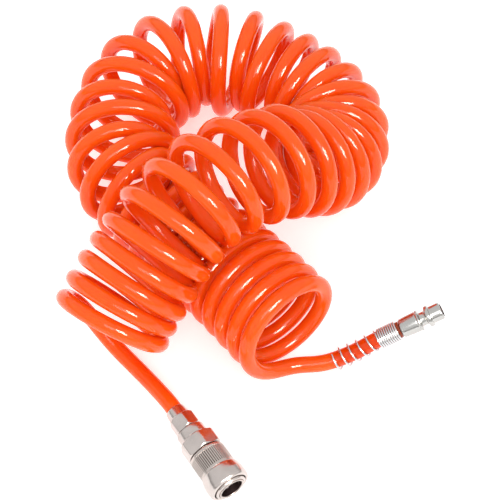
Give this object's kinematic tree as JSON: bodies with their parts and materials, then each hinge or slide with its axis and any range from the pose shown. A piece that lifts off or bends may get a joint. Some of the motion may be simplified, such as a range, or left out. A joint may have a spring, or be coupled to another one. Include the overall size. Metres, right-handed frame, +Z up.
{
  "type": "coiled air hose",
  "caption": "Coiled air hose lying in a loop: a spring-like tube with a straight tail at each end, one with a quick-coupler socket and one with a sprung plug.",
  "frame": {"origin": "middle of the hose's box, on the floor it lies on", "axes": "+Z up, +X the side the plug points to, -Y the way the coupler socket points"},
  "size_m": [0.1985, 0.2381, 0.1027],
  "materials": {
    "hose": "clear orange polyurethane, glossy",
    "fitting_steel": "nickel plated, satin",
    "body_steel": "nickel plated, satin",
    "spring_steel": "drawn wire",
    "brass": "turned",
    "seal": "matt black"
  },
  "bodies": {
    "hose": {"hose_coil": "hose", "hose_tail_socket": "hose", "hose_tail_plug": "hose", "hose_end_socket": "hose", "hose_end_plug": "hose", "hose_nut": "fitting_steel", "coupler_rear": "fitting_steel", "coupler_body": "body_steel", "nose_ring": "fitting_steel", "sleeve_spring": "spring_steel", "bore_seal": "seal", "valve_seat": "seal", "valve_spring": "spring_steel", "plug": "fitting_steel", "guard_spring": "spring_steel"},
    "sleeve": {"coupler_sleeve": "fitting_steel"},
    "poppet": {"valve_poppet": "brass"},
    "ball_1": {"lock_ball_1": "spring_steel"},
    "ball_2": {"lock_ball_2": "spring_steel"},
    "ball_3": {"lock_ball_3": "spring_steel"},
    "ball_4": {"lock_ball_4": "spring_steel"},
    "ball_5": {"lock_ball_5": "spring_steel"},
    "ball_6": {"lock_ball_6": "spring_steel"}
  },
  "joints": [
    {"name": "sleeve_slide", "type": "slide", "parent": "hose", "child": "sleeve", "axis": [0, 1, 0], "range_m": [0, 0.0036], "stiffness_N_per_m": 900, "springref_m": -0.004},
    {"name": "valve_slide", "type": "slide", "parent": "hose", "child": "poppet", "axis": [0, 1, 0], "range_m": [0, 0.0034], "stiffness_N_per_m": 300, "springref_m": -0.003},
    {"name": "ball_1_slide", "type": "slide", "parent": "hose", "child": "ball_1", "axis": [0.866, 0, 0.5], "range_m": [0, 0.0008]},
    {"name": "ball_2_slide", "type": "slide", "parent": "hose", "child": "ball_2", "axis": [0, 0, 1], "range_m": [0, 0.0008]},
    {"name": "ball_3_slide", "type": "slide", "parent": "hose", "child": "ball_3", "axis": [-0.866, 0, 0.5], "range_m": [0, 0.0008]},
    {"name": "ball_4_slide", "type": "slide", "parent": "hose", "child": "ball_4", "axis": [-0.866, 0, -0.5], "range_m": [0, 0.0008]},
    {"name": "ball_5_slide", "type": "slide", "parent": "hose", "child": "ball_5", "axis": [0, 0, -1], "range_m": [0, 0.0008]},
    {"name": "ball_6_slide", "type": "slide", "parent": "hose", "child": "ball_6", "axis": [0.866, 0, -0.5], "range_m": [0, 0.0008]}
  ],
  "couplings": [
    {"joint": "ball_1_slide", "follows": "sleeve_slide", "ratio": 0.2222},
    {"joint": "ball_2_slide", "follows": "sleeve_slide", "ratio": 0.2222},
    {"joint": "ball_3_slide", "follows": "sleeve_slide", "ratio": 0.2222},
    {"joint": "ball_4_slide", "follows": "sleeve_slide", "ratio": 0.2222},
    {"joint": "ball_5_slide", "follows": "sleeve_slide", "ratio": 0.2222},
    {"joint": "ball_6_slide", "follows": "sleeve_slide", "ratio": 0.2222}
  ]
}
